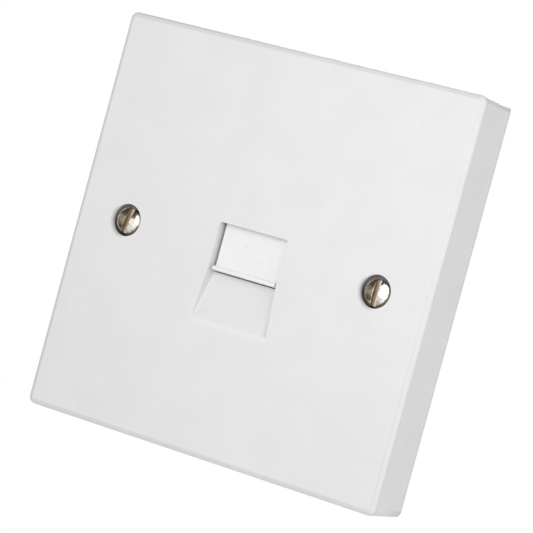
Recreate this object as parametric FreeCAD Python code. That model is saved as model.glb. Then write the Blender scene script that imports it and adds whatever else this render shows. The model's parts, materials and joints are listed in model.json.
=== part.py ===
import FreeCAD, Part
import math
import os

from FreeCAD import Vector

# Telephone wall socket: a square moulded plate with a shuttered jack, screwed to a wall box.
# X runs to the right, Y into the wall and Z up. The origin is the middle of the plate's rim,
# on the wall plane, so the front face stands at minus the plate's depth. Sizes are in mm.

# A fused piece sinks this far into its neighbour, and a cutter runs this far past a face
bite = 0.5
past = 1.0

# Plate
plate_size = 85.0
plate_depth = 12.0
plate_wall = 2.0
plate_corner_r = 1.5
plate_edge_r = 1.1
pocket_corner_r = 1.5
rib_thickness = 1.2
rib_height = 3.0

# Fixing screws and their seats
screw_spacing = 60.3
screw_length = 25.0
screw_thread_r = 1.75
screw_neck_r = 1.35
head_r = 2.95
head_sink = 0.6
head_rise = 0.65
head_band = 0.15
head_slot_width = 1.2
head_slot_depth = 1.1
slot_tilt_left = 8.6
slot_tilt_right = 0.0
seat_recess_r = 3.4
seat_recess_depth = 1.2
seat_gap = 0.03
screw_boss_r = 4.6
screw_boss_drop = 1.6
screw_hole_r = 1.95
washer_r = 3.9
washer_thickness = 0.8
washer_bore_gap = 0.08
washer_room = 0.3
thread_start = -0.5

# Opening and the scoop below it
opening_half = 8.2
opening_top = 5.0
opening_corner_r = 0.4
splay_start = -4.5
scoop_half = 9.0
scoop_foot = -15.1
scoop_head = -5.25
scoop_depth = 2.7
scoop_wall = 1.5

# Shutter and its channel
shutter_half = 7.6
shutter_sink = 1.8
shutter_thickness = 1.2
shutter_foot = -5.0
shutter_top = 11.0
shutter_travel = 7.5
shutter_gap = 0.2
ear_half = 9.4
ear_foot = 5.6
ear_corner_r = 0.5
lip_half = 7.55
lip_foot = -4.88
lip_top = -4.0
lip_sink = 0.5
lip_round = 0.25
guide_width = 1.5
stop_gap = 0.2

# Shutter spring
spring_wire = 0.3
spring_wire_sides = 4
spring_mean_r = 1.5
spring_turns = 5.0
spring_closed_length = 6.6
spring_end_gap = 0.04
spring_peg_r = 1.0
spring_peg_height = 2.5
spring_seat_half = 2.0
spring_seat_height = 1.2
spring_stop_height = 2.1
spring_clearance = 0.15

# Jack body
flange_thickness = 2.8
flange_corner_r = 1.0
flange_drop = 3.0
scoop_clearance = 0.2
cavity_half = 8.0
cavity_top = 5.2
cavity_end = 5.4
cavity_wall = 1.6
cavity_floor = 1.5
housing_corner_r = 0.8
latch_window = (-3.0, 0.6, -3.0, 3.0)

# Contacts: stamped strip, bent into a beam at one end and a terminal pad at the other
contact_pitch = 2.0
strip_thickness = 0.3
beam_width = 0.9
beam_tip = (4.2, -2.7)
beam_crown = (3.3, -2.3)
beam_fold_y = -5.5
beam_fold_z = -6.0
beam_bend_r = 0.3
strip_gap = 0.1
comb_slot_gap = 0.2
lead_width = 1.0
lead_step = 1.5
lead_gap = 0.4
lead_first_level = -10.2
pad_size = 5.2
pad_hole_gap = 0.08
bay_pitch = 8.0

# Terminal block
block_floor = 2.0
block_floor_thickness = 2.0
block_skirt = 1.6
block_gap = 0.1
block_corner_r = 1.2
block_margin = 0.6
window_wall = 1.2
shelf_thickness = 2.1
shelf_margin = 1.0
barrier_thickness = 1.2
barrier_height = 4.0
barrier_inset = 0.3
pillar_half = 2.5
pillar_gap = 1.0

# Terminal screws and clamps
clamp_size = 5.0
clamp_thickness = 0.7
clamp_lip = 0.5
clamp_lip_height = 0.6
terminal_shank_r = 1.25
terminal_shank_length = 6.0
terminal_head_r = 1.9
terminal_head_height = 1.5
terminal_slot_width = 0.6
terminal_slot_depth = 0.8
terminal_slot_turns = (110, 145, 180, 70, 105, 140)
bore_gap = 0.1

# Screws that hold the terminal block and the jack body to the plate, at two opposite corners
module_screw_x = 16.5
module_ear_r = 3.2
module_ear_thickness = 3.0
module_boss_r = 3.0
module_shank_r = 1.1
module_shank_length = 6.6
module_head_r = 2.2
module_head_height = 1.4
module_slot_width = 0.7
module_slot_depth = 0.8
module_slot_turns = (20, -30)
pilot_extra = 0.3

# Places that follow from the sizes
face = -plate_depth
inner = face + plate_wall
half = plate_size / 2
screw_x = screw_spacing / 2
rim_of_head = face + head_sink
shutter_front = face + shutter_sink
shutter_back = shutter_front + shutter_thickness
channel_front = shutter_front - shutter_gap
flange_front = shutter_back + shutter_gap
flange_back = flange_front + flange_thickness
guide_inner = ear_half + shutter_gap
guide_outer = guide_inner + guide_width
spring_stop_z = shutter_top + shutter_travel + spring_closed_length
guide_top = spring_stop_z + spring_stop_height
stop_z = ear_foot - stop_gap
scoop_back = face + scoop_depth + scoop_wall
cavity_foot = scoop_head
floor_under = cavity_foot - cavity_floor
box_half = cavity_half + cavity_wall
box_top = cavity_top + cavity_wall
box_end = cavity_end + cavity_wall
strip_level = floor_under - strip_gap - strip_thickness / 2
shelf_top = strip_level - strip_thickness / 2
shelf_foot = shelf_top - shelf_thickness
spring_y = shutter_front - spring_clearance + spring_mean_r + spring_wire / 2
groove_half = spring_seat_half + shutter_gap
first_riser_x = box_half + block_gap + window_wall
pad_inner_x = first_riser_x + 2 * lead_step + lead_width / 2 + lead_gap
pad_x = pad_inner_x + pad_size / 2
block_half = pad_x + pad_size / 2 + block_skirt
block_top = 1.5 * bay_pitch + barrier_thickness / 2
block_foot = min(lead_first_level - 2 * lead_step, -1.5 * bay_pitch) - lead_width - block_margin
module_screws = [(-1, block_top + module_ear_r), (1, block_foot - module_ear_r)]
terminals = [(side, row) for side in (-1, 1) for row in range(3)]


def box(x0, x1, y0, y1, z0, z1):
    return Part.makeBox(x1 - x0, y1 - y0, z1 - z0, Vector(x0, y0, z0))


def rod(x, z, r, y0, y1):
    return Part.makeCylinder(r, y1 - y0, Vector(x, y0, z), Vector(0, 1, 0))


def round_path(points, radii, closed=True):
    """Edges through 3D points, each corner with its own radius."""
    count = len(points)
    edges = []
    last = None
    first = None
    for i, point in enumerate(points):
        radius = radii[i] if closed or 0 < i < count - 1 else 0
        if radius <= 0:
            start = end = point
            arc = None
        else:
            back = (points[i - 1] - point).normalize()
            ahead = (points[(i + 1) % count] - point).normalize()
            angle = back.getAngle(ahead)
            reach = radius / math.tan(angle / 2)
            start = point + back * reach
            end = point + ahead * reach
            middle = (back + ahead).normalize() * (radius / math.sin(angle / 2) - radius)
            arc = Part.Arc(start, point + middle, end).toShape()
        if last is not None:
            edges.append(Part.LineSegment(last, start).toShape())
        else:
            first = start
        if arc is not None:
            edges.append(arc)
        last = end
    if closed:
        edges.append(Part.LineSegment(last, first).toShape())
    return Part.Wire(edges)


def plate_xz(points, radii, y0, y1):
    """A flat piece with an outline in X and Z, from y0 to y1."""
    path = round_path([Vector(x, y0, z) for x, z in points], radii)
    return Part.Face(path).extrude(Vector(0, y1 - y0, 0))


def plate_yz(points, radii, x0, x1):
    """A flat piece with an outline in Y and Z, from x0 to x1."""
    path = round_path([Vector(x0, y, z) for y, z in points], radii)
    return Part.Face(path).extrude(Vector(x1 - x0, 0, 0))


def rounded_rect(x0, x1, z0, z1, r, y0, y1):
    return plate_xz([(x0, z0), (x1, z0), (x1, z1), (x0, z1)], [r] * 4, y0, y1)


def ribbon_outline(points, bend_r, width):
    """The closed outline of a strip of even width along a middle line, with its radii.

    The outside of each bend has the bend radius, and the inside is sharp.
    """
    sides = {1: [], -1: []}
    radii = {1: [], -1: []}
    for i, (a, b) in enumerate(points):
        before = after = None
        if i > 0:
            before = Vector(a - points[i - 1][0], b - points[i - 1][1], 0).normalize()
        if i < len(points) - 1:
            after = Vector(points[i + 1][0] - a, points[i + 1][1] - b, 0).normalize()
        before = before or after
        after = after or before
        mean = (before + after).normalize()
        normal = Vector(-mean.y, mean.x, 0)
        stretch = width / 2 / max(0.1, normal.dot(Vector(-before.y, before.x, 0)))
        turn = before.cross(after).z
        for side in (1, -1):
            sides[side].append((a + side * normal.x * stretch, b + side * normal.y * stretch))
            radii[side].append(bend_r if turn * side < -1e-9 else 0)
    return sides[1] + sides[-1][::-1], radii[1] + radii[-1][::-1]


def fuse(shapes):
    return shapes[0].multiFuse(shapes[1:]).removeSplitter()


def spun(profile, x, z, dome=None):
    """A body turned about a line along Y at x, z. The profile is a list of (radius, y).

    A dome is one more (radius, y), half way along an arc from the last point to the first.
    """
    points = [Vector(x + r, y, z) for r, y in profile]
    edges = [Part.LineSegment(a, b).toShape() for a, b in zip(points, points[1:])]
    if dome is None:
        edges.append(Part.LineSegment(points[-1], points[0]).toShape())
    else:
        edges.append(Part.Arc(points[-1], Vector(x + dome[0], dome[1], z), points[0]).toShape())
    return Part.Face(Part.Wire(edges)).revolve(Vector(x, 0, z), Vector(0, 1, 0), 360)


def plate_bosses(hollow):
    """The screws' bosses, the ribs that carry them and the guides beside the shutter."""
    root = inner - bite
    rib_back = inner + rib_height
    thick = rib_thickness / 2
    added = []
    for side in (-1, 1):
        x = side * screw_x
        added.append(rod(x, 0, screw_boss_r, root, -screw_boss_drop))
        ends = sorted([x + side * (screw_boss_r - bite), side * (hollow + bite)])
        added.append(box(ends[0], ends[1], root, rib_back, -thick, thick))
        ends = sorted([side * (opening_half - past), side * guide_outer])
        added.append(box(ends[0], ends[1], root, flange_front, scoop_head, stop_z))
        ends = sorted([side * guide_inner, side * guide_outer])
        added.append(box(ends[0], ends[1], root, flange_front, scoop_head, guide_top))
    for side, z in module_screws:
        x = side * module_screw_x
        edge = math.copysign(hollow + bite, z)
        ends = sorted([z, edge])
        added.append(box(x - thick, x + thick, root, rib_back, ends[0], ends[1]))
        added.append(rod(x, z, module_boss_r, root, flange_back))
    return added


def mouth_cuts(slope):
    """The mouth goes right through, and the scoop runs out to the face below it."""
    mouth = [
        (-opening_half, scoop_head),
        (opening_half, scoop_head),
        (opening_half, opening_top),
        (-opening_half, opening_top),
    ]
    r = opening_corner_r
    through = plate_xz(mouth, [0, 0, r, r], face - past, scoop_back + past)
    # Behind the face wall the mouth opens up to the stops, so that the shutter's panel passes
    head = box(
        -opening_half, opening_half, channel_front, flange_front + past, opening_top - past, stop_z
    )
    # The face wall is thinned behind the opening's head, where the shutter rises
    channel = box(-guide_inner, guide_inner, channel_front, inner + bite, stop_z, guide_top)
    ramp = [
        (face - past, scoop_foot - past / slope),
        (face + scoop_depth, scoop_head),
        (face + scoop_depth, splay_start),
        (face - past, splay_start),
    ]
    splay = (scoop_half - opening_half) / (splay_start - scoop_foot)
    low_half = scoop_half + 2 * past * splay
    fan = [
        (-low_half, scoop_foot - 2 * past),
        (low_half, scoop_foot - 2 * past),
        (opening_half, splay_start),
        (-opening_half, splay_start),
    ]
    prism = plate_yz(ramp, [0] * 4, -low_half - past, low_half + past)
    scoop = prism.common(plate_xz(fan, [0] * 4, face - past, scoop_back))
    return [through, head, channel, scoop]


def plate_screw_cuts():
    """Countersunk seats and holes for the fixing screws, and pilot holes for the others."""
    lip_y = rim_of_head + head_band
    cone_r = head_r + seat_gap
    cone_end = lip_y + cone_r - screw_hole_r
    recess_floor = face + max(seat_recess_depth, head_sink + head_band + seat_gap)
    cuts = []
    for side in (-1, 1):
        x = side * screw_x
        cuts.append(rod(x, 0, seat_recess_r, face - past, recess_floor))
        cone = [(0, lip_y), (cone_r, lip_y), (screw_hole_r, cone_end), (0, cone_end)]
        cuts.append(spun(cone, x, 0))
        cuts.append(rod(x, 0, screw_hole_r, lip_y, past))
        cuts.append(rod(x, 0, washer_r + washer_room, -screw_boss_drop, past))
    tip = flange_back + module_ear_thickness - module_shank_length - pilot_extra
    for side, z in module_screws:
        cuts.append(rod(side * module_screw_x, z, module_shank_r + bore_gap / 2, tip, past))
    return cuts


def face_plate():
    shell = rounded_rect(-half, half, -half, half, plate_corner_r, face, 0)
    front = [e for e in shell.Edges if e.BoundBox.YMax < face + 1e-6]
    shell = shell.makeFillet(min(plate_edge_r, 0.9 * plate_corner_r), front)
    hollow = half - plate_wall
    shell = shell.cut(rounded_rect(-hollow, hollow, -hollow, hollow, pocket_corner_r, inner, past))
    # The scoop's ramp keeps a wall of its own behind it
    slope = scoop_depth / (scoop_head - scoop_foot)
    wedge_foot = scoop_foot + (plate_wall - scoop_wall - bite) / slope
    wedge = [(inner - bite, wedge_foot), (scoop_back, scoop_head), (inner - bite, scoop_head)]
    ramp_wall = plate_yz(wedge, [0] * 3, -guide_outer, guide_outer)
    plate = fuse([shell, ramp_wall] + plate_bosses(hollow))
    return plate.cut(mouth_cuts(slope) + plate_screw_cuts()).removeSplitter()


def fixing_screw(side, tilt):
    """A slotted raised countersunk screw with a neck that keeps its washer."""
    x = side * screw_x
    top = rim_of_head - head_rise
    dome_r = (head_r ** 2 + head_rise ** 2) / (2 * head_rise)
    half_r = head_r / 2
    half_way = (half_r, top + dome_r - math.sqrt(dome_r ** 2 - half_r ** 2))
    cone_y = rim_of_head + head_band
    neck_y = cone_y + head_r - screw_neck_r
    end = rim_of_head + screw_length
    profile = [
        (head_r, rim_of_head),
        (head_r, cone_y),
        (screw_neck_r, neck_y),
        (screw_neck_r, thread_start),
        (screw_thread_r, thread_start),
        (screw_thread_r, end),
        (0, end),
        (0, top),
    ]
    screw = spun(profile, x, 0, half_way)
    reach = head_r + past
    wide = head_slot_width / 2
    slot = box(x - wide, x + wide, top - past, top + head_slot_depth, -reach, reach)
    slot.rotate(Vector(x, 0, 0), Vector(0, 1, 0), tilt)
    return screw.cut(slot)


def screw_washer(side):
    x = side * screw_x
    y0 = -screw_boss_drop
    washer = rod(x, 0, washer_r, y0, y0 + washer_thickness)
    bore_r = screw_neck_r + washer_bore_gap
    return washer.cut(rod(x, 0, bore_r, y0 - past, y0 + washer_thickness + past))


def shutter():
    """A flat slide with a finger lip at its foot, guided by two ears behind the plate."""
    outline = [
        (-shutter_half, shutter_foot),
        (shutter_half, shutter_foot),
        (shutter_half, ear_foot),
        (ear_half, ear_foot),
        (ear_half, shutter_top),
        (-ear_half, shutter_top),
        (-ear_half, ear_foot),
        (-shutter_half, ear_foot),
    ]
    r = ear_corner_r
    panel = plate_xz(outline, [0, 0, 0, r, r, r, r, 0], shutter_front, shutter_back)
    nose = face + lip_sink
    root = shutter_front + bite
    section = [(root, lip_foot), (nose, lip_foot), (nose, lip_top), (root, lip_top)]
    r = min(lip_round, 0.4 * (lip_top - lip_foot))
    lip = plate_yz(section, [0, r, r, 0], -lip_half, lip_half)
    seat_foot = shutter_top - spring_seat_height
    seat_back = spring_y + spring_mean_r + spring_wire / 2
    seat = box(-spring_seat_half, spring_seat_half, shutter_front, seat_back, seat_foot, shutter_top)
    peg_foot = Vector(0, spring_y, seat_foot)
    peg = Part.makeCylinder(spring_peg_r, spring_peg_height + spring_seat_height, peg_foot)
    return fuse([panel, lip, seat, peg])


def shutter_spring():
    """A light compression spring between the shutter's seat and the stop on the jack body."""
    low = shutter_top + spring_end_gap + spring_wire / 2
    high = spring_stop_z - spring_end_gap - spring_wire / 2
    pitch = (high - low) / spring_turns
    path = Part.makeHelix(pitch, high - low, spring_mean_r)
    path.translate(Vector(0, spring_y, low))
    start = Vector(spring_mean_r, spring_y, low)
    corners = []
    for i in range(spring_wire_sides + 1):
        angle = 2 * math.pi * i / spring_wire_sides
        offset = Vector(math.cos(angle), 0, math.sin(angle)) * (spring_wire / 2)
        corners.append(start + offset)
    return Part.Wire(path.Edges).makePipeShell([Part.makePolygon(corners)], True, True)


def contact_x(side, row):
    """Row 0 is the top terminal, which the outermost contact of its side feeds."""
    return side * (2.5 - row) * contact_pitch


def jack_body():
    flange_foot = floor_under - flange_drop
    flange = rounded_rect(
        -guide_outer, guide_outer, flange_foot, guide_top, flange_corner_r, flange_front, flange_back
    )
    wide = guide_outer + past
    step_back = scoop_back + scoop_clearance
    relief = box(-wide, wide, flange_front - past, step_back, flange_foot - past, scoop_head)
    shell = box(-box_half, box_half, flange_back - past, box_end, floor_under, box_top)
    upright = [e for e in shell.Edges if abs(e.tangentAt(e.FirstParameter).y) > 0.9]
    shell = shell.makeFillet(housing_corner_r, upright)
    rest_y = channel_front + shutter_gap / 2
    stop = box(
        -spring_seat_half, spring_seat_half, rest_y, flange_front + bite, spring_stop_z, guide_top
    )
    body = fuse([flange.cut(relief), shell, stop])
    cuts = [
        box(-cavity_half, cavity_half, flange_front - past, cavity_end, cavity_foot, cavity_top)
    ]
    groove_back = spring_y + spring_mean_r + spring_wire / 2 + shutter_gap
    groove_foot = shutter_top - spring_seat_height - shutter_gap
    cuts.append(
        box(-groove_half, groove_half, flange_front - past, groove_back, groove_foot, spring_stop_z)
    )
    for side, row in terminals:
        x = contact_x(side, row)
        wide = beam_width / 2 + comb_slot_gap
        front = beam_fold_y - strip_thickness - comb_slot_gap
        back = beam_tip[0] + strip_thickness + comb_slot_gap
        cuts.append(box(x - wide, x + wide, front, back, floor_under - past, cavity_foot + past))
    y0, y1, z0, z1 = latch_window
    cuts.append(box(cavity_half - past, box_half + past, y0, y1, z0, z1))
    return body.cut(cuts).removeSplitter()


def contact(side, row):
    """One stamped and bent strip: sprung beam, run under the jack, lead and terminal pad."""
    x = contact_x(side, row)
    plane = block_floor + strip_thickness / 2
    level = lead_first_level - row * lead_step
    beam = [
        beam_tip,
        beam_crown,
        (beam_fold_y, beam_fold_z),
        (beam_fold_y, strip_level),
        (plane, strip_level),
        (plane, lead_first_level + lead_width),
    ]
    outline, radii = ribbon_outline(beam, beam_bend_r, strip_thickness)
    strip = plate_yz(outline, radii, x - beam_width / 2, x + beam_width / 2)

    riser_x = side * (first_riser_x + row * lead_step)
    pad_z = (1 - row) * bay_pitch
    lead = [
        (x, lead_first_level + lead_width + strip_thickness),
        (x, level),
        (riser_x, level),
        (riser_x, pad_z),
        (side * (pad_inner_x + past), pad_z),
    ]
    outline, radii = ribbon_outline(lead, 0, lead_width)
    lead_strip = plate_xz(outline, radii, block_floor, block_floor + strip_thickness)
    reach = pad_size / 2
    px = side * pad_x
    pad = box(
        px - reach, px + reach, block_floor, block_floor + strip_thickness, pad_z - reach, pad_z + reach
    )
    whole = fuse([strip, lead_strip, pad])
    hole_r = terminal_shank_r + pad_hole_gap
    hole = rod(px, pad_z, hole_r, block_floor - past, block_floor + past)
    return whole.cut(hole).removeSplitter()


def terminal_block():
    """A moulded tray round the jack, with a shelf for the strips and three bays on each side."""
    hollow_back = block_floor - block_floor_thickness
    tray = rounded_rect(
        -block_half, block_half, block_foot, block_top, block_corner_r, flange_back, block_floor
    )
    ears = []
    ear_back = flange_back + module_ear_thickness
    for side, z in module_screws:
        x = side * module_screw_x
        ears.append(rod(x, z, module_ear_r, flange_back, ear_back))
        ends = sorted([z, block_top - bite if z > 0 else block_foot + bite])
        ears.append(
            box(x - module_ear_r, x + module_ear_r, flange_back, ear_back, ends[0], ends[1])
        )
    skirt_x = block_half - block_skirt
    skirt_foot = block_foot + block_skirt
    skirt_top = block_top - block_skirt
    hollow = box(-skirt_x, skirt_x, flange_back - past, hollow_back, skirt_foot, skirt_top)
    body = fuse([tray] + ears).cut(hollow)

    window_x = box_half + block_gap
    window_top = box_top + block_gap
    frame_x = window_x + window_wall
    frame_foot = shelf_foot - window_wall
    frame_top = window_top + window_wall
    root = hollow_back + bite
    added = [body, box(-frame_x, frame_x, flange_back, root, frame_foot, frame_top)]
    for side, row in terminals:
        x = side * pad_x
        z = (1 - row) * bay_pitch
        r = pillar_half
        added.append(box(x - r, x + r, flange_back + pillar_gap, root, z - r, z + r))
    thick = barrier_thickness / 2
    for side in (-1, 1):
        ends = sorted([side * (pad_inner_x + barrier_inset), side * block_half])
        for i in range(4):
            z = (i - 1.5) * bay_pitch
            top = block_floor + barrier_height
            added.append(box(ends[0], ends[1], block_floor - bite, top, z - thick, z + thick))
    whole = fuse(added)

    shelf_half = abs(contact_x(1, 0)) + beam_width / 2 + shelf_margin
    shelf_front = beam_fold_y + strip_thickness / 2 + beam_bend_r + comb_slot_gap
    front = flange_back - past
    back = block_floor + past
    cuts = [
        box(-window_x, window_x, front, back, shelf_top, window_top),
        box(-window_x, -shelf_half, front, back, shelf_foot, window_top),
        box(shelf_half, window_x, front, back, shelf_foot, window_top),
        box(-window_x, window_x, front, shelf_front, shelf_foot, window_top),
    ]
    # The shelf's back edge is bevelled for the strips' bend
    reach = beam_bend_r + past
    bevel = [
        (block_floor - reach, shelf_top + past),
        (block_floor + past, shelf_top - reach),
        (block_floor + past, shelf_top + past),
    ]
    cuts.append(plate_yz(bevel, [0] * 3, -shelf_half, shelf_half))
    tip = block_floor + strip_thickness + clamp_thickness - terminal_shank_length - pilot_extra
    for side, row in terminals:
        z = (1 - row) * bay_pitch
        cuts.append(rod(side * pad_x, z, terminal_shank_r + bore_gap, tip, back))
    for side, z in module_screws:
        cuts.append(rod(side * module_screw_x, z, module_shank_r + bore_gap, front, back))
    return whole.cut(cuts).removeSplitter()


def headed_screw(x, z, seat, shank_r, shank_length, head, height, slot_width, slot_depth, turn):
    """A cheese-head screw whose head sits on the plane y = seat and faces the back."""
    top = seat + height
    shank = rod(x, z, shank_r, seat - shank_length, seat + bite)
    wide = slot_width / 2
    reach = head + past
    slot = box(x - wide, x + wide, top - slot_depth, top + past, z - reach, z + reach)
    slot.rotate(Vector(x, 0, z), Vector(0, 1, 0), turn)
    return fuse([shank, rod(x, z, head, seat, top)]).cut(slot)


def terminal_screw(side, row, turn):
    """A screw and its captive clamp, whose two upturned edges keep the wire under the head."""
    x = side * pad_x
    z = (1 - row) * bay_pitch
    plate_front = block_floor + strip_thickness
    seat = plate_front + clamp_thickness
    reach = clamp_size / 2
    screw = headed_screw(
        x,
        z,
        seat,
        terminal_shank_r,
        terminal_shank_length,
        terminal_head_r,
        terminal_head_height,
        terminal_slot_width,
        terminal_slot_depth,
        turn,
    )
    pieces = [screw, box(x - reach, x + reach, plate_front, seat, z - reach, z + reach)]
    lip_back = seat + clamp_lip_height
    for edge in (-1, 1):
        ends = sorted([z + edge * reach, z + edge * (reach - clamp_lip)])
        pieces.append(box(x - reach, x + reach, plate_front, lip_back, ends[0], ends[1]))
    return fuse(pieces)


def module_screw(side, z, turn):
    return headed_screw(
        side * module_screw_x,
        z,
        flange_back + module_ear_thickness,
        module_shank_r,
        module_shank_length,
        module_head_r,
        module_head_height,
        module_slot_width,
        module_slot_depth,
        turn,
    )


nodes = {
    "face_plate": face_plate(),
    "fixing_screw_left": fixing_screw(-1, slot_tilt_left),
    "fixing_screw_right": fixing_screw(1, slot_tilt_right),
    "screw_washer_left": screw_washer(-1),
    "screw_washer_right": screw_washer(1),
    "shutter": shutter(),
    "shutter_spring": shutter_spring(),
    "jack_body": jack_body(),
    "terminal_block": terminal_block(),
}
for index, (side, z) in enumerate(module_screws):
    nodes["module_screw_%d" % (index + 1)] = module_screw(side, z, module_slot_turns[index])
# The terminals are numbered down the left column, then down the right one
for index, (side, row) in enumerate(terminals):
    nodes["contact_%d" % (index + 1)] = contact(side, row)
    nodes["terminal_screw_%d" % (index + 1)] = terminal_screw(side, row, terminal_slot_turns[index])

os.makedirs("parts", exist_ok=True)
for name, shape in nodes.items():
    print(name, shape.ShapeType, len(shape.Solids), round(shape.Volume, 3), shape.isValid())
    shape.exportStep("parts/%s.step" % name)
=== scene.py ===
import json
import math

import bmesh
import bpy
from mathutils import Matrix, Vector


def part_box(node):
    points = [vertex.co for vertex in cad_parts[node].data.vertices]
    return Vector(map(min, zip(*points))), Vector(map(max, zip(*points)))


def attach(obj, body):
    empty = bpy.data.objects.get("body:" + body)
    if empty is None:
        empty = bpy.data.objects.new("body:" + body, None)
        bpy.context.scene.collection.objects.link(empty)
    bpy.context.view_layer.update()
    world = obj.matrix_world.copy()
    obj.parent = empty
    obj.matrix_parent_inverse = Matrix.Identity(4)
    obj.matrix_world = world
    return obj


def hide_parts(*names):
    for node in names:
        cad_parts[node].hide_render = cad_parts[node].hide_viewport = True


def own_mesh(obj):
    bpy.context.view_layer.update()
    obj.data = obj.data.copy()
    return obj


# A telephone wall socket. Pieces are made in millimetres in the row's frame, X to the right,
# Y into the wall and Z up, and are brought to metres as they are finished. Materials measure
# places in millimetres too. A span is a pair of values: a tone starts at the first and is full
# at the second.

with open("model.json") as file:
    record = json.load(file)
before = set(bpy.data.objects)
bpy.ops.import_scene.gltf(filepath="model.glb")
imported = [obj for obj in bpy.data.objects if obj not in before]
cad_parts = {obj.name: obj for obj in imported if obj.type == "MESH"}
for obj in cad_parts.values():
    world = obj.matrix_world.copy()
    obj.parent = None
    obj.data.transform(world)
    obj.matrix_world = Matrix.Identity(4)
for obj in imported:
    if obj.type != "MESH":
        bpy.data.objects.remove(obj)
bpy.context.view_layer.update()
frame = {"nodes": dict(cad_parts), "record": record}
nodes = frame["nodes"]
MM = 0.001

# Camera, fitted to the photograph: its direction, its roll and where the plate stands before it
CAMERA_AZIMUTH = math.radians(29.510)
CAMERA_ELEVATION = math.radians(1.671)
CAMERA_ROLL = math.radians(15.194)
CAMERA_DISTANCE = 557.59 * MM
PLATE_RIGHT = 1.970 * MM
PLATE_BELOW = -1.115 * MM
SENSOR_WIDTH = 36.0
FOCAL_LENGTH = 182.90
CLIP_START = 0.01
CLIP_END = 20

# Lamps: place and size in metres, power in watts
LAMPS = {
    "key": ((0.34, -0.40, 0.26), 0.22, 0.3),
    "near": ((0.04, -0.21, 0.045), 0.16, 0.155),
    "side": ((0.90, -0.07, 0.06), 0.60, 1.4),
    "back": ((-0.40, 1.20, 0.50), 0.80, 9.0),
}

# World: the even light, the darker sides that metal mirrors, and the headings at which they start
AMBIENT_FRONT = 0.58
AMBIENT_BACK = 0.32
ROOM_LEFT = (0.33, 0.29, 0.22)
ROOM_ABOVE = (0.06, 0.045, 0.03)
FRONT_TO_BACK_SPAN = (-0.3, 0.5)
LEFT_SPAN = (-0.47, -0.62)
LOWER_SPAN = (-0.02, -0.32)
ABOVE_SPAN = (0.10, 0.26)
FAR_LEFT_SPAN = (-0.945, -0.98)

# Floor, in metres: how far below the plate's middle it lies, its radius and where it starts to fade
FLOOR_DEPTH = 0.30
FLOOR_RADIUS = 0.80
FLOOR_FADE = 0.45
FLOOR_TONES = ((0.93, 0.93, 0.93), (0.95, 0.95, 0.95))

# Tones, as linear colours
WHITE = (1.0, 1.0, 1.0)
WHITE_PLATE = (0.84, 0.84, 0.84)
WHITE_SHUTTER = (0.92, 0.92, 0.92)
JACK_TONE = (0.77, 0.77, 0.75)
BLOCK_TONE = (0.74, 0.735, 0.70)
NYLON_TONE = (0.68, 0.66, 0.58)
NICKEL = (0.88, 0.86, 0.82)
NICKEL_DULL = (0.55, 0.51, 0.45)
BRONZE_EDGE = (0.13, 0.085, 0.05)
SLOT_BRONZE = (0.42, 0.30, 0.18)
SLOT_BRONZE_DULL = (0.28, 0.19, 0.11)
SLOT_DUST = ((0.80, 0.79, 0.76), (0.92, 0.91, 0.89))
STEEL = (0.55, 0.56, 0.57)
ZINC = (0.66, 0.68, 0.71)
BRASS = (0.80, 0.62, 0.28)
BRASS_DULL = (0.52, 0.38, 0.16)
TIN = (0.72, 0.72, 0.70)
BRONZE = (0.72, 0.49, 0.29)
GOLD = (0.86, 0.66, 0.30)

# Plastic: specks, the painted shade in inner corners and the plate's painted shade are this share of the
# plastic's own tone
SPECK_TONE = 0.6
CORNER_TONE = 0.35
MARK_TONE = 0.3
SPECK_SHARE = 0.12
CORNER_REACH = 1.2
PLATE_SHINE = 0.5

# Metal: how much of the dull tone shows in patches, and of the bare bronze along a worn rim
DULL_SHARE = 0.5
NICKEL_DULL_SHARE = 0.85
WORN_SHARE = 0.9
WORN_RIM_SPAN = (2.80, 2.98)
WORN_SLOT_SPAN = (-0.05, -0.2)

# The plate's painted shade and highlights: the share of the darker or lighter tone in each
WALLS_PAINTED_SHADE = 0.10
BESIDE_PAINTED_SHADOW = 0.20
FOOT_PAINTED_HIGHLIGHT = 0.20
EDGE_PAINTED_SHADE = 0.14
EDGE_PAINTED_HIGHLIGHT = 0.06
RIM_PAINTED_SHADE = 0.20
LEFT_EDGE_PAINTED_SHADE = 0.28
SEAT_SHADOW_DARK = 0.45

# Spans of the normal of a face with painted shade or highlights: which way it faces, and how far it has
# turned along an edge
FACING_RIGHT = (0.25, 0.80)
FACING_LEFT = (-0.25, -0.80)
FACING_FAR_LEFT = (-0.50, -0.80)
FACING_UP = (0.1, 0.2)
TURNED = (0.03, 0.12)
TURNED_HALF_WAY = (0.30, 0.42)
TURNED_MORE = (0.1, 0.3)

# Places of the plate's painted shade and highlights, in millimetres. Depths are measured from the face.
PLATE_WALL = 2.0
OUTER_SPAN = (39.5, 40.5)
RIM_SPAN = (-0.7, -0.3)
OPENING_HALF = 8.2
SPLAY_START = -4.5
SCOOP_FOOT = -15.1
SCOOP_FOOT_HALF = 9.0
SCOOP_SIDE_SPAN = (14.0, 13.0)
SCOOP_TOP_SPAN = (-5.25, -5.75)
SCOOP_END_SPAN = (-15.4, -15.1)
SCOOP_DEPTH_SPAN = (3.5, 2.0)
BESIDE_REACH = 1.3
RAMP_SIDE_SPAN = (9.8, 9.4)
RIGHT_WALL_SPAN = (7.0, 7.5)
FOOT_LINE = -15.7
FOOT_LINE_SPAN = (1.1, 0.1)
FOOT_SIDE_SPAN = (9.4, 8.6)
FOOT_DEPTH_SPAN = (1.0, 0.5)
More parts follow.
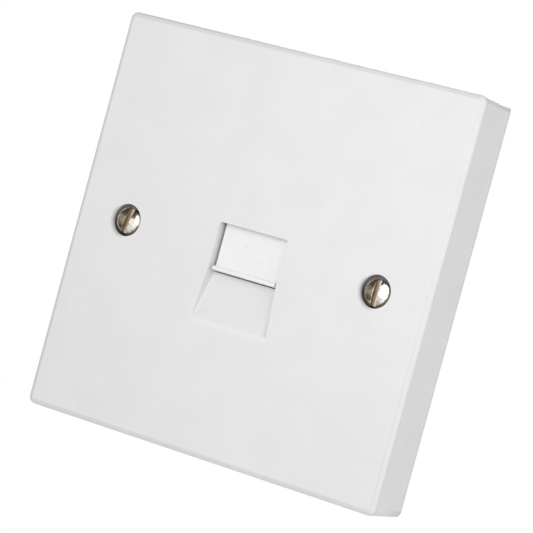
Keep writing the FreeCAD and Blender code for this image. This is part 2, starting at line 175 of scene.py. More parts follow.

# Screw seats, in millimetres, and the tones of their painted shade. Depths are measured from where a seat
# starts.
SEAT_RADIUS = 3.4
SEAT_START = 0.05
SEAT_BORDER_SPAN = (3.5, 3.44)
SEAT_WALL_SPAN = (0.1, 0.6)
SEAT_BOTTOM_SPAN = (0.5, 1.15)
SEAT_HEIGHT_SPAN = (-1.5, 1.5)
SEAT_SHADE = (0.52, 0.52, 0.51)
SEAT_DEEP = (0.035, 0.03, 0.03)
SEAT_LIT = (0.22, 0.215, 0.21)
SEAT_SHADOW_REACH = 0.8
SEAT_SHADOW_SLOPE = -0.5
SEAT_SHADOW_SPAN = (0.8, 3.0)

# Fixing screws, in millimetres: where each head sits off its shank, and each slot's turn in degrees
HEAD_DROPS = {"fixing_screw_left": (0.05, -0.14), "fixing_screw_right": (0.05, -0.30)}
SLOT_TILTS = {"fixing_screw_left": 8.6, "fixing_screw_right": 0.0}
HEAD_RISE = 0.65
HEAD_EDGE = 0.12
HEAD_BAND = 0.15
HEAD_STEPS = 8
HEAD_SEGMENTS = 96
NECK_RADIUS = 1.35
NECK_OVERLAP = 0.4
NECK_SEGMENTS = 32
SLOT_WIDTH = 1.2
SLOT_DEPTH = 1.1
SLOT_PAST = 1
SLOT_EDGE = 0.05
THREAD_RADIUS = 1.75
THREAD_START = -0.5
THREAD_OVERLAP = 0.1
THREAD_PITCH = 0.6
THREAD_DEPTH = 0.34
THREAD_HALF_WIDTH = 0.44
THREAD_STEEPNESS = 1.15
THREAD_RUN_OUT = 1.5
THREAD_SEGMENTS = 32
THREAD_STEPS = 10

# Back screws, in millimetres. A slot is a width and a depth, and its turn is in degrees.
CHEESE_EDGE = 0.22
CHEESE_FOOT = 0.08
CHEESE_TIP = (0.15, 0.2)
TERMINAL_TURNS = (110, 145, 180, 70, 105, 140)
TERMINAL_HEAD_RADIUS = 1.9
TERMINAL_HEAD_HEIGHT = 1.5
TERMINAL_SHANK_RADIUS = 1.25
TERMINAL_SLOT = (0.6, 0.8)
MODULE_TURNS = (20, -30)
MODULE_HEAD_HEIGHT = 1.4
MODULE_SHANK_RADIUS = 1.1
MODULE_SLOT = (0.7, 0.8)

# Wire clamps, in millimetres
CLAMP_SIZE = 5.0
CLAMP_THICKNESS = 0.7
CLAMP_LIP = 0.5
CLAMP_LIP_HEIGHT = 0.6
CLAMP_EDGE = 0.12
RIDGES = 5
RIDGE_RISE = 0.08
RIDGE_SINK = 0.01
RIDGE_HALF_WIDTH = 0.22

# Contact strips, in millimetres: where the tinned pads and the gilt beams start
PAD_SPAN = (14.5, 14.8)
BEAM_HEIGHT_SPAN = (-6.6, -6.2)
BEAM_SIDE_SPAN = (8.0, 7.6)

# Shutter spring, in millimetres. The pitch of its closed turns is in wire thicknesses.
SPRING_WIRE = 0.3
SPRING_ACTIVE_TURNS = 5.0
SPRING_CLOSED_TURNS = 1.25
SPRING_CLOSED_PITCH = 1.05
SPRING_STEPS = 28
SPRING_SIDES = 10

# Raised numbers on the jack's back, in millimetres
NUMERAL_HEIGHT = 3.4
NUMERAL_RISE = 0.3
NUMERAL_BEVEL = 0.3
NUMERAL_X = 7.2
NUMERAL_PITCH = 4.4
NUMERAL_MIDDLE = 0.2

# Ejector marks inside the plate, in millimetres. A ring's section is a list of (inwards, rise).
EJECTOR_PLACES = [(-32, 32), (32, 32), (-32, -32), (32, -32), (0, 36), (0, -36)]
EJECTOR_RADIUS = 2.2
EJECTOR_SECTION = [(0, -0.05), (0.05, 0.07), (0.16, 0.07), (0.24, -0.05), (0, -0.05)]

# Mouldings with sharp edges to round, by so many millimetres
SOFT_EDGES = {"jack_body": 0.15, "terminal_block": 0.15, "shutter": 0.1, "face_plate": 0.1}
SHARP_ANGLE = math.radians(40)
WELD_DISTANCE = 0.002
FLAT_ANGLE = math.radians(1.0)


def row_box(name):
    """A CAD node's lowest and highest corners in millimetres."""
    low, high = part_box(name)
    return Vector(low) / MM, Vector(high) / MM


def middle(name):
    """The x, y and z of a CAD node's middle in millimetres."""
    low, high = row_box(name)
    return [(a + b) / 2 for a, b in zip(low, high)]


def shade(color, factor):
    return tuple(channel * factor for channel in color)


class Nodes:
    """Short calls for the nodes of one material or of the world."""

    def __init__(self, tree):
        self.tree = tree

    def add(self, kind, inputs=(), **settings):
        node = self.tree.nodes.new("ShaderNode" + kind)
        for name, value in settings.items():
            setattr(node, name, value)
        for socket, value in dict(inputs).items():
            self.put(node.inputs[socket], value)
        return node

    def put(self, socket, value):
        if isinstance(value, bpy.types.NodeSocket):
            self.tree.links.new(value, socket)
        else:
            socket.default_value = value

    def where(self):
        """The place on the object, in metres."""
        return self.add("TexCoord").outputs["Object"]

    def parts(self, vector):
        """The x, y and z of a vector."""
        return self.add("SeparateXYZ", {0: vector}).outputs[:]

    def millimetres(self, where):
        """The x, y and z of a place, in millimetres."""
        scaled = self.add("VectorMath", {0: where, "Scale": 1 / MM}, operation="SCALE")
        return self.parts(scaled.outputs[0])

    def math(self, operation, a, b=0.0):
        return self.add("Math", {0: a, 1: b}, operation=operation).outputs[0]

    def times(self, value, *factors):
        for factor in factors:
            value = self.math("MULTIPLY", value, factor)
        return value

    def length(self, a, b):
        """The length of the way a to one side and b up."""
        return self.math("SQRT", self.math("ADD", self.times(a, a), self.times(b, b)))

    def span(self, value, low, high, first=0.0, last=1.0):
        """The value from low to high, brought smoothly to first and last."""
        inputs = {"Value": value, 1: low, 2: high, 3: first, 4: last}
        return self.add("MapRange", inputs, interpolation_type="SMOOTHSTEP").outputs[0]

    def noise(self, where, size, detail=2.0, stretch=None):
        """Noise whose blobs are about that many millimetres across."""
        if stretch:
            where = self.add("Mapping", {"Vector": where, "Scale": stretch}).outputs[0]
        inputs = {"Vector": where, "Scale": 1 / (size * MM), "Detail": detail}
        return self.add("TexNoise", inputs).outputs["Fac"]

    def mix(self, share, a, b):
        """The first colour with a share of the second."""
        node = self.add("Mix", data_type="RGBA")
        self.put(node.inputs[0], share)
        self.put(node.inputs[6], a if not isinstance(a, tuple) else (*a, 1))
        self.put(node.inputs[7], b if not isinstance(b, tuple) else (*b, 1))
        return node.outputs[2]

    def bump(self, height, depth, normal=None):
        """Bumps of a depth in millimetres."""
        inputs = {"Height": height, "Distance": depth * MM, "Strength": 1.0}
        if normal:
            inputs["Normal"] = normal
        return self.add("Bump", inputs).outputs[0]


def new_material(name):
    material = bpy.data.materials.new(name)
    material.use_nodes = True
    return material, Nodes(material.node_tree), material.node_tree.nodes["Principled BSDF"]


def dress(make, shader, tone, roughness, normal, metallic=0.0):
    make.put(shader.inputs["Base Color"], tone)
    make.put(shader.inputs["Roughness"], roughness)
    make.put(shader.inputs["Normal"], normal)
    shader.inputs["Metallic"].default_value = metallic


def moulding(name, color, roughness, mottle=0.02, grain_depth=0.004, waves=0.008, corner_shade=0.1, marks=None):
    """Moulded plastic: a slight mottle, a few specks, a fine surface and painted shade in its inner
    corners.
    """
    material, make, shader = new_material(name)
    where = make.where()
    cloud = make.span(make.noise(where, size=9.0, detail=3.0), 0.35, 0.65)
    tone = make.mix(cloud, shade(color, 1 - mottle), color)
    speck = make.span(make.noise(where, size=1.2, detail=0.0), 0.83, 0.87)
    tone = make.mix(make.times(speck, SPECK_SHARE), tone, shade(color, SPECK_TONE))
    # Painted light, such as the plate's painted shade and highlights, goes in here
    if marks:
        tone = marks(make, shader, where, tone, color)
    # Painted shade: the tone darkens in inner corners, where ambient occlusion finds them
    corner = make.add("AmbientOcclusion", {"Distance": CORNER_REACH * MM}, samples=8).outputs["AO"]
    tone = make.mix(make.span(corner, 0.25, 0.85, corner_shade, 0.0), tone, shade(color, CORNER_TONE))
    wear = make.noise(where, size=2.5, detail=3.0)
    rough = make.span(wear, 0.3, 0.7, roughness - 0.04, roughness + 0.05)
    swell = make.bump(make.noise(where, size=5.0, detail=1.0), waves)
    dress(make, shader, tone, rough, make.bump(make.noise(where, size=0.25), grain_depth, swell))
    return material


def paint_scoop_light(make, place, normal, tone, dark):
    """Painted shade on the left walls, which face right, a painted shadow along the scoop's right wall and
    a painted highlight along its foot.
    """
    x, y, z = place
    depth = make.math("SUBTRACT", y, row_box("face_plate")[0].y)
    wide = make.math("ABSOLUTE", x)
    region = make.span(wide, *SCOOP_SIDE_SPAN)
    # Painted shade on the walls that face right
    tone = make.mix(make.times(make.span(normal[0], *FACING_RIGHT), region, WALLS_PAINTED_SHADE), tone, dark)

    # The scoop's sides splay towards its foot, so the painted shadow on its ramp follows the right one
    splay = (SCOOP_FOOT_HALF - OPENING_HALF) / (SPLAY_START - SCOOP_FOOT)
    wall_x = make.math("SUBTRACT", OPENING_HALF + splay * SPLAY_START, make.times(z, splay))
    ramp = make.times(
        make.span(normal[2], *FACING_UP),
        make.span(make.math("SUBTRACT", x, wall_x), -BESIDE_REACH, 0.0),
        make.span(x, *RAMP_SIDE_SPAN),
    )
    wall = make.times(make.span(normal[0], *FACING_LEFT), make.span(x, *RIGHT_WALL_SPAN), region)
    scoop = make.times(
        make.span(z, *SCOOP_TOP_SPAN),
        make.span(z, *SCOOP_END_SPAN),
        make.span(depth, *SCOOP_DEPTH_SPAN),
    )
    # A painted shadow along the scoop's right wall
    tone = make.mix(make.times(make.math("MAXIMUM", ramp, wall), scoop, BESIDE_PAINTED_SHADOW), tone, dark)

    # A painted highlight along the scoop's foot
    from_line = make.math("ABSOLUTE", make.math("SUBTRACT", z, FOOT_LINE))
    foot = make.times(
        make.span(from_line, *FOOT_LINE_SPAN),
        make.span(wide, *FOOT_SIDE_SPAN),
        make.span(depth, *FOOT_DEPTH_SPAN),
    )
    return make.mix(make.times(foot, FOOT_PAINTED_HIGHLIGHT), tone, WHITE)


def paint_edge_shade(make, place, normal, tone, dark):
    """Painted shade in fine lines along the face's rounded edge, lighter half way round it and darker at
    its left, and a painted shade line along the rim.
    """
    x, y, z = place
    outer = make.span(make.math("MAXIMUM", make.math("ABSOLUTE", x), make.math("ABSOLUTE", z)), *OUTER_SPAN)
    sideways = make.math("SQRT", make.math("SUBTRACT", 1.0, make.times(normal[1], normal[1])))
    turned = make.math("ABSOLUTE", make.times(normal[1], sideways))
    # Painted shade where the face turns into its rounded edge, less of it half way round
    rounding = make.times(make.span(turned, *TURNED), EDGE_PAINTED_SHADE)
    half_way = make.times(make.span(turned, *TURNED_HALF_WAY), EDGE_PAINTED_SHADE - EDGE_PAINTED_HIGHLIGHT)
    tone = make.mix(make.times(make.math("SUBTRACT", rounding, half_way), outer), tone, dark)
    # A painted shade line along the rim, and painted shade on the rounded edge at the left
    rim = make.times(make.span(y, *RIM_SPAN), outer, RIM_PAINTED_SHADE)
    left = make.times(make.span(normal[0], *FACING_FAR_LEFT), make.span(turned, *TURNED_MORE), outer)
    return make.mix(make.math("MAXIMUM", rim, make.times(left, LEFT_EDGE_PAINTED_SHADE)), tone, dark)


def paint_seat_shade(make, shader, place, tone, dark):
    """Painted shade in the screw seats, with their gloss turned down, and a painted shadow outside their
    lower left edges.
    """
    x, y, z = place
    depth = make.math("SUBTRACT", y, row_box("face_plate")[0].y + SEAT_START)
    shine = PLATE_SHINE
    for screw in SLOT_TILTS:
        across = make.math("SUBTRACT", x, middle(screw)[0])
        far = make.length(across, z)
        lower_left = make.math("SUBTRACT", make.times(z, SEAT_SHADOW_SLOPE), across)
        # A painted shadow outside the seat's lower left edge
        ring = make.span(far, SEAT_RADIUS + SEAT_SHADOW_REACH, SEAT_RADIUS, 0.0, SEAT_SHADOW_DARK)
        tone = make.mix(make.times(ring, make.span(lower_left, *SEAT_SHADOW_SPAN)), tone, dark)
        # Painted shade inside the seat: darker deeper in, and darker low down than up top
        bottom = make.mix(make.span(z, *SEAT_HEIGHT_SPAN), SEAT_DEEP, SEAT_LIT)
        seat_shade_tone = make.mix(make.span(depth, *SEAT_BOTTOM_SPAN), SEAT_SHADE, bottom)
        deep = make.times(make.span(far, *SEAT_BORDER_SPAN), make.span(depth, *SEAT_WALL_SPAN))
        tone = make.mix(deep, tone, seat_shade_tone)
        shine = make.math("SUBTRACT", shine, make.times(deep, PLATE_SHINE))
    make.put(shader.inputs["Specular IOR Level"], shine)
    return tone


def paint_plate_light(make, shader, where, tone, color):
    """The plate's painted light: painted shade and highlights in its scoop, along its edges and in its
    screw seats.
    """
    place = make.millimetres(where)
    normal = make.parts(make.add("NewGeometry").outputs["Normal"])
    # The tone that all the plate's painted shade darkens towards
    dark = shade(color, MARK_TONE)
    tone = paint_scoop_light(make, place, normal, tone, dark)
    tone = paint_edge_shade(make, place, normal, tone, dark)
    return paint_seat_shade(make, shader, place, tone, dark)


def metal(name, color, dull, roughness):
    """Plated or drawn metal: a duller tone in patches and fine marks from rubbing."""
    material, make, shader = new_material(name)
    where = make.where()
    patch = make.span(make.noise(where, size=1.6, detail=3.0), 0.35, 0.70)
    tone = make.mix(make.times(patch, DULL_SHARE), color, dull)
    fine = make.noise(where, size=0.25, detail=3.0)
    rough = make.span(fine, 0.3, 0.7, roughness, roughness + 0.12)
    dress(make, shader, tone, rough, make.bump(fine, 0.003), metallic=1.0)
    return material


def contact_metal():
    """Bronze strip: gold on the sprung beams and tin on the terminal pads."""
    material, make, shader = new_material("bronze_strip")
    where = make.where()
    x, _, z = make.millimetres(where)
    outwards = make.math("ABSOLUTE", x)
    patch = make.span(make.noise(where, size=1.5), 0.30, 0.75)
    tone = make.mix(patch, BRONZE, shade(BRONZE, 0.9))
    tone = make.mix(make.span(outwards, *PAD_SPAN), tone, TIN)
    beams = make.times(make.span(z, *BEAM_HEIGHT_SPAN), make.span(outwards, *BEAM_SIDE_SPAN))
    tone = make.mix(beams, tone, GOLD)
    fine = make.noise(where, size=0.6)
    rough = make.span(fine, 0.3, 0.7, 0.26, 0.32)
    dress(make, shader, tone, rough, make.bump(fine, 0.0008), metallic=1.0)
    return material


def nickel_head():
    """Worn nickel: bronze shows through along the head's rim, and rubbing marks lie round it."""
    material, make, shader = new_material("worn_nickel")
    where = make.where()
    x, _, z = make.millimetres(where)
    across = make.math("SUBTRACT", make.math("ABSOLUTE", x), middle("fixing_screw_right")[0])
    patch = make.span(make.noise(where, size=0.9, detail=3.0), 0.44, 0.64)
    tone = make.mix(make.times(patch, NICKEL_DULL_SHARE), NICKEL, NICKEL_DULL)
    ragged = make.times(make.noise(where, size=0.5, detail=3.0), 0.5)
    rim = make.span(make.math("ADD", make.length(across, z), ragged), *WORN_RIM_SPAN)
    tone = make.mix(make.times(rim, WORN_SHARE), tone, BRONZE_EDGE)
    fine = make.noise(where, size=0.30, detail=3.0, stretch=(1.0, 1.0, 0.15))
    rough = make.span(fine, 0.3, 0.7, 0.10, 0.24)
    dress(make, shader, tone, rough, make.bump(fine, 0.008), metallic=1.0)
    return material


def slot_floor(centre, turn):
    """The floor of a fixing screw's slot: pale dust and plating, with worn bronze along its left side."""
    material, make, shader = new_material("slot_floor")
    where = make.where()
    x, _, z = make.millimetres(where)
    dust = make.span(make.noise(where, size=0.5, detail=3.0), 0.35, 0.65)
    tone = make.mix(dust, *SLOT_DUST)
    lean = make.times(z, math.sin(math.radians(turn)))
    across = make.math("SUBTRACT", make.math("SUBTRACT", x, centre), lean)
    tone = make.mix(make.span(across, *WORN_SLOT_SPAN), tone, SLOT_BRONZE)
    rough = make.span(dust, 0.0, 1.0, 0.40, 0.60)
    dress(make, shader, tone, rough, make.bump(make.noise(where, size=0.15), 0.004), metallic=0.1)
    return material


def make_looks():
    """The material of each slot in the record."""
    return {
        "plate_moulding": moulding("white_moulding", WHITE_PLATE, 0.36, corner_shade=0.06, marks=paint_plate_light),
        "shutter_moulding": moulding("white_shutter", WHITE_SHUTTER, 0.34, mottle=0.006, waves=0.0015),
        "jack_moulding": moulding("jack_plastic", JACK_TONE, 0.45, grain_depth=0.008),
        "block_moulding": moulding("block_plastic", BLOCK_TONE, 0.50, mottle=0.03, grain_depth=0.01),
        "washer_nylon": moulding("nylon", NYLON_TONE, 0.42, mottle=0.05),
        "nickel_plate": nickel_head(),
        "spring_steel": metal("spring_wire", STEEL, shade(STEEL, 0.7), 0.22),
        "zinc_plate": metal("zinc", ZINC, shade(ZINC, 0.75), 0.24),
        "phosphor_bronze": contact_metal(),
        "screw_brass": metal("brass", BRASS, BRASS_DULL, 0.20),
    }


def make_camera():
    back = Vector(
        (
            math.sin(CAMERA_AZIMUTH) * math.cos(CAMERA_ELEVATION),
            -math.cos(CAMERA_AZIMUTH) * math.cos(CAMERA_ELEVATION),
            math.sin(CAMERA_ELEVATION),
        )
    )
    right = Vector((0, 0, 1)).cross(back).normalized()
    up = back.cross(right)
    turn = Matrix.Rotation(CAMERA_ROLL, 3, back)
    right = turn @ right
    up = turn @ up
    axes = Matrix((right, up, back)).transposed().to_4x4()
    place = back * CAMERA_DISTANCE - right * PLATE_RIGHT + up * PLATE_BELOW
    camera = bpy.data.objects.new("camera", bpy.data.cameras.new("camera"))
    bpy.context.scene.collection.objects.link(camera)
    camera.matrix_world = Matrix.Translation(place) @ axes
    camera.data.sensor_width = SENSOR_WIDTH
    camera.data.lens = FOCAL_LENGTH
    camera.data.clip_start = CLIP_START
    camera.data.clip_end = CLIP_END
    bpy.context.scene.camera = camera


def make_world():
    """Even light all round. What the camera sees is white, and what metal mirrors has darker sides."""
    world = bpy.data.worlds.new("studio")
    bpy.context.scene.world = world
    world.use_nodes = True
    world.node_tree.nodes.clear()
    make = Nodes(world.node_tree)
    out = make.add("OutputWorld")
    x, y, z = make.parts(make.add("TexCoord").outputs["Generated"])
    left = make.mix(make.span(z, *LOWER_SPAN), ROOM_LEFT, ROOM_ABOVE)
    room = make.mix(make.span(x, *LEFT_SPAN), WHITE, left)
    room = make.mix(make.span(z, *ABOVE_SPAN), room, ROOM_ABOVE)
    room = make.mix(make.span(x, *FAR_LEFT_SPAN), room, ROOM_ABOVE)
    strength = make.span(y, *FRONT_TO_BACK_SPAN, AMBIENT_FRONT, AMBIENT_BACK)
    ambient = make.add("Background", {"Color": (*WHITE, 1), "Strength": strength})
    mirrored = make.add("Background", {"Color": room, "Strength": 1.0})
    seen = make.add("Background", {"Color": (*WHITE, 1), "Strength": 1.0})
    path = make.add("LightPath").outputs
    clear = make.math("MAXIMUM", path["Is Camera Ray"], path["Is Transmission Ray"])
    light = ambient.outputs[0]
    for share, other in ((path["Is Glossy Ray"], mirrored), (clear, seen)):
        light = make.add("MixShader", {0: share, 1: light, 2: other.outputs[0]}).outputs[0]
    make.put(out.inputs["Surface"], light)


def make_lamp(name, place, size, watts):
    """A round lamp that points at the plate's middle."""
    data = bpy.data.lights.new(name, "AREA")
    data.shape = "DISK"
    data.size = size
    data.energy = watts
    lamp = bpy.data.objects.new(name, data)
    bpy.context.scene.collection.objects.link(lamp)
    lamp.location = place
    lamp.rotation_euler = (-Vector(place)).to_track_quat("-Z", "Y").to_euler()


def make_floor():
    """A pale floor well below the plate, which fades into the white round it."""
    mesh = bpy.data.meshes.new("floor")
    shape = bmesh.new()
    bmesh.ops.create_circle(shape, cap_ends=True, segments=96, radius=FLOOR_RADIUS)
    shape.to_mesh(mesh)
    shape.free()
    floor = bpy.data.objects.new("floor", mesh)
    floor.location = (0, 0, -FLOOR_DEPTH)
    bpy.context.scene.collection.objects.link(floor)
    material, make, shader = new_material("floor")
    where = make.where()
    far = make.add("VectorMath", {0: where}, operation="LENGTH").outputs["Value"]
    make.put(shader.inputs["Base Color"], make.mix(make.noise(where, size=60.0), *FLOOR_TONES))
    shader.inputs["Roughness"].default_value = 0.7
    make.put(shader.inputs["Alpha"], make.span(far, FLOOR_FADE, FLOOR_RADIUS, 1.0, 0.0))
    mesh.materials.append(material)


def finish(shape, name, body, materials, smooth_angle=35):
    """Turns a bmesh in millimetres into a piece in metres that rides on a body."""
    bmesh.ops.remove_doubles(shape, verts=shape.verts, dist=1e-5)
    bmesh.ops.recalc_face_normals(shape, faces=shape.faces)
    mesh = bpy.data.meshes.new(name)
    shape.to_mesh(mesh)
    shape.free()
    for material in materials:
        mesh.materials.append(material)
    piece = bpy.data.objects.new(name, mesh)
    bpy.context.scene.collection.objects.link(piece)
    mesh.transform(Matrix.Scale(MM, 4))
    mesh.shade_smooth()
    mesh.set_sharp_from_angle(angle=math.radians(smooth_angle))
    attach(piece, body)
    return piece


def circle_angles(count):
    return [2 * math.pi * i / count for i in range(count)]


def add_points(shape, points):
    return [shape.verts.new(point) for point in points]


def join(shape, rings, caps=True):
    """Faces between each ring and the next, one of which may be a single point, and over both ends."""
    for a, b in zip(rings, rings[1:]):
        count = max(len(a), len(b))
        for i in range(count):
            j = (i + 1) % count
            corners = [a[i % len(a)], a[j % len(a)], b[j % len(b)], b[i % len(b)]]
            shape.faces.new(list(dict.fromkeys(corners)))
    if caps:
        for ring in (rings[0], rings[-1]):
            shape.faces.new(ring)


def lathe(profile, x, z, segments=48, shape=None):
    """A closed body turned about a line along Y. The profile is a list of (radius, y)."""
    shape = shape or bmesh.new()
    rings = []
    for radius, y in profile:
        angles = circle_angles(segments) if radius else [0]
        points = [(x + radius * math.cos(angle), y, z + radius * math.sin(angle)) for angle in angles]
        rings.append(add_points(shape, points))
    join(shape, rings, caps=False)
    return shape


def cut_slot(shape, x, z, turn, width, reach, y0, y1):
    """Cuts a slot through a turned head. Its sides take the second material and its floor the third."""
    body = bpy.data.objects.new("cut_body", bpy.data.meshes.new("cut_body"))
    bmesh.ops.recalc_face_normals(shape, faces=shape.faces)
    shape.to_mesh(body.data)
    shape.free()
    cutter_shape = bmesh.new()
    bmesh.ops.create_cube(cutter_shape, size=1)
    for vert in cutter_shape.verts:
        vert.co = Vector((vert.co.x * width, vert.co.y * (y1 - y0), vert.co.z * 2 * reach))
    tool = bpy.data.objects.new("cut_tool", bpy.data.meshes.new("cut_tool"))
    cutter_shape.to_mesh(tool.data)
    cutter_shape.free()
    tool.location = (x, (y0 + y1) / 2, z)
    tool.rotation_euler = (0, math.radians(turn), 0)
    for data in (body.data, tool.data):
        for _ in range(3):
            data.materials.append(None)
    for face in tool.data.polygons:
        face.material_index = 1 if abs(face.normal.x) > 0.5 else 2
    for piece in (body, tool):
        bpy.context.scene.collection.objects.link(piece)
    cut = body.modifiers.new("cut", "BOOLEAN")
    cut.operation = "DIFFERENCE"
    cut.solver = "EXACT"
    cut.object = tool
    edge = body.modifiers.new("edge", "BEVEL")
    edge.width = SLOT_EDGE
    edge.segments = 2
    edge.limit_method = "ANGLE"
    edge.angle_limit = SHARP_ANGLE
    bpy.context.view_layer.update()
    solid = bpy.data.meshes.new_from_object(body.evaluated_get(bpy.context.evaluated_depsgraph_get()))
    result = bmesh.new()
    result.from_mesh(solid)
    for piece in (body, tool):
        data = piece.data
        bpy.data.objects.remove(piece)
        bpy.data.meshes.remove(data)
    bpy.data.meshes.remove(solid)
    return result


def add_thread(shape, x, z, y0, y1):
    """A helical thread round a shank, tapering out at both ends."""
    rows = int((y1 - y0) / THREAD_PITCH * THREAD_STEPS)
    rings = []
    for row in range(rows + 1):
        y = y0 + (y1 - y0) * row / rows
        ends = min(1.0, (y - y0) / THREAD_PITCH, (y1 - y) / (THREAD_RUN_OUT * THREAD_PITCH))
        points = []
        for i, angle in enumerate(circle_angles(THREAD_SEGMENTS)):
            phase = (y / THREAD_PITCH - i / THREAD_SEGMENTS) % 1.0
            ridge = max(0.0, 1 - abs(phase - 0.5) / THREAD_HALF_WIDTH)
            rise = THREAD_DEPTH * min(1.0, ridge * THREAD_STEEPNESS) * max(0.0, ends)
            radius = THREAD_RADIUS - THREAD_DEPTH + rise
            points.append((x + radius * math.cos(angle), y, z + radius * math.sin(angle)))
        rings.append(add_points(shape, points))
    join(shape, rings)


def fixing_screw(node, drop, materials):
    """A raised countersunk screw with a slot, a neck and its thread.

    The shank stands in the node's own place, and only the head sits a little off in its seat.
    """
    low, high = row_box(node)
    shank_x = middle(node)[0]
    x = shank_x + drop[0]
    z = drop[1]
    head = (high.x - low.x) / 2
    top = low.y
    rim = top + HEAD_RISE
    dome_radius = (head ** 2 + HEAD_RISE ** 2) / (2 * HEAD_RISE)
    cone_end = rim + HEAD_BAND + head - NECK_RADIUS
    profile = [(0, top)]
    for i in range(1, HEAD_STEPS + 1):
        radius = (head - HEAD_EDGE) * i / HEAD_STEPS
        profile.append((radius, top + dome_radius - math.sqrt(dome_radius ** 2 - radius ** 2)))
    profile += [
        (head - HEAD_EDGE * 0.3, rim - 0.01),
        (head, rim + HEAD_EDGE * 0.5),
        (head, rim + HEAD_BAND),
        (NECK_RADIUS, cone_end),
        (0, cone_end),
    ]
    shape = lathe(profile, x, z, HEAD_SEGMENTS)
    slot_start = top - SLOT_PAST
    slot_end = top + SLOT_DEPTH
    shape = cut_slot(shape, x, z, SLOT_TILTS[node], SLOT_WIDTH, head + SLOT_PAST, slot_start, slot_end)
    neck = [
        (0, cone_end - NECK_OVERLAP),
        (NECK_RADIUS, cone_end - NECK_OVERLAP),
        (NECK_RADIUS, THREAD_START + THREAD_OVERLAP),
        (0, THREAD_START + THREAD_OVERLAP),
    ]
    lathe(neck, shank_x, 0, NECK_SEGMENTS, shape)
    add_thread(shape, shank_x, 0, THREAD_START, high.y)
    piece = finish(shape, node + "_detail", "socket", materials)
    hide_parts(node)


def cheese_head(node, head, height, shank, slot_size, turn, materials):
    """A cheese-head screw that faces the back. The head and the shank are given as radii."""
    low, high = row_box(node)
    x, _, z = middle(node)
    tip = low.y
    top = high.y
    seat = top - height
    profile = [
        (0, tip),
        (shank - CHEESE_TIP[0], tip),
        (shank, tip + CHEESE_TIP[1]),
        (shank, seat),
        (head - CHEESE_FOOT, seat),
        (head, seat + CHEESE_FOOT),
        (head, top - CHEESE_EDGE),
        (head - CHEESE_EDGE * 0.3, top - CHEESE_EDGE * 0.3),
        (head - CHEESE_EDGE, top),
        (0, top),
    ]
    width, depth = slot_size
    shape = lathe(profile, x, z)
    shape = cut_slot(shape, x, z, turn, width, head + SLOT_PAST, top - depth, top + SLOT_PAST)
    screw = finish(shape, node + "_detail", "socket", materials)
    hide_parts(node)


def wire_clamp(name, screw, material):
    """A pressed clamp under a terminal screw's head: upturned edges, and fine ridges that bite."""
    x, _, z = middle(screw)
    front = row_box(screw)[1].y - TERMINAL_HEAD_HEIGHT - CLAMP_THICKNESS
    seat = front + CLAMP_THICKNESS
    lip_top = seat + CLAMP_LIP_HEIGHT
    half = CLAMP_SIZE / 2
    inner = half - CLAMP_LIP
    reach = inner - CLAMP_EDGE
    upper_half = [
        (half, front + CLAMP_EDGE),
        (half, lip_top - CLAMP_EDGE),
        (half - CLAMP_EDGE, lip_top),
        (inner + CLAMP_EDGE, lip_top),
        (inner, lip_top - CLAMP_EDGE),
        (reach, seat),
    ]
    section = [(-half + CLAMP_EDGE, front), (half - CLAMP_EDGE, front)]
    section += upper_half
    section += [(-across, y) for across, y in reversed(upper_half)]
    shape = bmesh.new()
    ends = []
    for side in (-1, 1):
        ends.append(add_points(shape, [(x + side * half, y, z + across) for across, y in section]))
    join(shape, ends)
    for i in range(RIDGES):
        middle_x = x - half + CLAMP_SIZE * (i + 0.5) / RIDGES
        peak = add_points(shape, [(middle_x, seat + RIDGE_RISE, z + side * reach) for side in (-1, 1)])
        feet = []
        for foot_x in (middle_x - RIDGE_HALF_WIDTH, middle_x + RIDGE_HALF_WIDTH):
            points = [(foot_x, seat - RIDGE_SINK, z + side * reach) for side in (-1, 1)]
            feet.append(add_points(shape, points))
        for foot in feet:
            shape.faces.new((foot[0], foot[1], peak[1], peak[0]))
        for end in (0, 1):
            shape.faces.new((feet[0][end], peak[end], feet[1][end]))
        shape.faces.new((feet[0][0], feet[0][1], feet[1][1], feet[1][0]))
    finish(shape, name, "socket", [material])


def back_screws(looks):
    """The terminal screws with their clamps, and the two screws that hold the block."""
    tin = metal("tinned_clamp", TIN, shade(TIN, 0.72), 0.24)
    # The slots take a darker copy of the brass: painted shade in the slots
    dark = metal("slot_brass_painted_shade", shade(BRASS, 0.45), shade(BRASS, 0.3), 0.35)
    for index, turn in enumerate(TERMINAL_TURNS, 1):
        node = "terminal_screw_%d" % index
        cheese_head(
            node,
            TERMINAL_HEAD_RADIUS,
            TERMINAL_HEAD_HEIGHT,
            TERMINAL_SHANK_RADIUS,
            TERMINAL_SLOT,
            turn,
            [looks["screw_brass"], dark, dark],
        )
        wire_clamp("wire_clamp_%d" % index, node, tin)
    # The slots take a darker copy of the zinc: painted shade in the slots
    painted_shade_zinc = metal("slot_zinc_painted_shade", shade(ZINC, 0.45), shade(ZINC, 0.3), 0.35)
    for index, turn in enumerate(MODULE_TURNS, 1):
        node = "module_screw_%d" % index
        low, high = row_box(node)
        cheese_head(
            node,
            (high.x - low.x) / 2,
            MODULE_HEAD_HEIGHT,
            MODULE_SHANK_RADIUS,
            MODULE_SLOT,
            turn,
            [looks["zinc_plate"], painted_shade_zinc, painted_shade_zinc],
        )


def tube(shape, points, radius):
    """A round wire through many close points, with closed ends."""
    rings = []
    last = len(points) - 1
    for i, point in enumerate(points):
        along = (points[min(i + 1, last)] - points[max(i - 1, 0)]).normalized()
        flat = along.cross(Vector((0, 0, 1))).normalized()
        up = flat.cross(along).normalized()
        ring = []
        for angle in circle_angles(SPRING_SIDES):
            ring.append(point + flat * radius * math.cos(angle) + up * radius * math.sin(angle))
        rings.append(add_points(shape, ring))
    join(shape, rings)


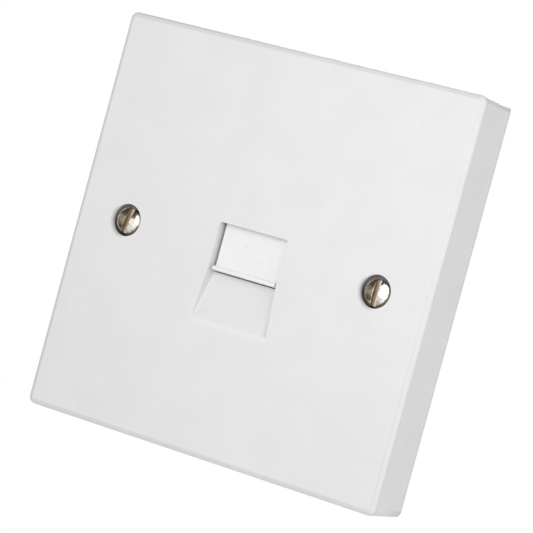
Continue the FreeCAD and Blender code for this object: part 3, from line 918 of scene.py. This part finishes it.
def shutter_spring(material):
    """The shutter's compression spring, in round wire with closed end turns."""
    low, high = row_box("shutter_spring")
    centre_y = middle("shutter_spring")[1]
    radius = (high.y - low.y) / 2 - SPRING_WIRE / 2
    foot = low.z + SPRING_WIRE / 2
    head = high.z - SPRING_WIRE / 2
    turns = SPRING_ACTIVE_TURNS + 2 * SPRING_CLOSED_TURNS
    closed = SPRING_CLOSED_TURNS * SPRING_WIRE * SPRING_CLOSED_PITCH
    points = []
    count = int(turns * SPRING_STEPS)
    for i in range(count + 1):
        turn = turns * i / count
        if turn < SPRING_CLOSED_TURNS:
            z = foot + closed * turn / SPRING_CLOSED_TURNS
        elif turn > turns - SPRING_CLOSED_TURNS:
            z = head - closed * (turns - turn) / SPRING_CLOSED_TURNS
        else:
            share = (turn - SPRING_CLOSED_TURNS) / SPRING_ACTIVE_TURNS
            z = foot + closed + (head - foot - 2 * closed) * share
        angle = 2 * math.pi * turn
        points.append(Vector((radius * math.cos(angle), centre_y + radius * math.sin(angle), z)))
    shape = bmesh.new()
    tube(shape, points, SPRING_WIRE / 2)
    spring = finish(shape, "shutter_spring_detail", "socket", [material], 60)
    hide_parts("shutter_spring")
    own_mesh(spring)


def numerals(material):
    """Raised terminal numbers on the back of the jack, three at each side."""
    back = row_box("jack_body")[1].y
    axes = Matrix(((-1, 0, 0), (0, 0, 1), (0, 1, 0))).to_4x4()
    for index in range(6):
        name = "number_%d" % (index + 1)
        side = -1 if index < 3 else 1
        row = index % 3
        text = bpy.data.curves.new(name, "FONT")
        text.body = str(index + 1)
        text.size = NUMERAL_HEIGHT
        text.extrude = NUMERAL_RISE
        text.bevel_depth = NUMERAL_RISE * NUMERAL_BEVEL
        text.align_x = "CENTER"
        text.align_y = "CENTER"
        source = bpy.data.objects.new("number_source", text)
        bpy.context.scene.collection.objects.link(source)
        bpy.context.view_layer.update()
        depsgraph = bpy.context.evaluated_depsgraph_get()
        mesh = bpy.data.meshes.new_from_object(source.evaluated_get(depsgraph))
        bpy.data.objects.remove(source)
        place = Vector((side * NUMERAL_X, back, (1 - row) * NUMERAL_PITCH + NUMERAL_MIDDLE))
        mesh.transform(Matrix.Translation(place) @ axes)
        shape = bmesh.new()
        shape.from_mesh(mesh)
        bpy.data.meshes.remove(mesh)
        finish(shape, name, "socket", [material], 30)


def ejector_marks(material):
    """The round witness marks that a mould's pins leave inside the plate."""
    inner = PLATE_WALL + row_box("face_plate")[0].y
    profile = [(EJECTOR_RADIUS - inwards, inner + rise) for inwards, rise in EJECTOR_SECTION]
    for index, (x, z) in enumerate(EJECTOR_PLACES, 1):
        name = "ejector_mark_%d" % index
        finish(lathe(profile, x, z), name, "socket", [material])


def soften(name, width):
    """Rounds a moulding's sharp edges a little."""
    node = nodes[name]
    weld = node.modifiers.new("weld", "WELD")
    weld.merge_threshold = WELD_DISTANCE * MM
    flat = node.modifiers.new("flat", "DECIMATE")
    flat.decimate_type = "DISSOLVE"
    flat.angle_limit = FLAT_ANGLE
    edge = node.modifiers.new("edge", "BEVEL")
    edge.width = width * MM
    edge.segments = 2
    edge.limit_method = "ANGLE"
    edge.angle_limit = SHARP_ANGLE
    edge.use_clamp_overlap = True
    edge.harden_normals = True


bpy.context.scene.view_settings.view_transform = "Standard"
make_camera()
make_world()
for name, (place, size, watts) in LAMPS.items():
    make_lamp(name, place, size, watts)
make_floor()

looks = make_looks()
for part in frame["record"]["subparts"]:
    node = nodes[part["node"]]
    node.data.materials.clear()
    node.data.materials.append(looks[part["material_slot"]])

slot_side = metal("worn_slot", SLOT_BRONZE, SLOT_BRONZE_DULL, 0.30)
for name, drop in HEAD_DROPS.items():
    dusty_floor = slot_floor(middle(name)[0] + drop[0], SLOT_TILTS[name])
    fixing_screw(name, drop, [looks["nickel_plate"], slot_side, dusty_floor])
back_screws(looks)
shutter_spring(looks["spring_steel"])
numerals(looks["jack_moulding"])
ejector_marks(looks["plate_moulding"])
for name, width in SOFT_EDGES.items():
    soften(name, width)
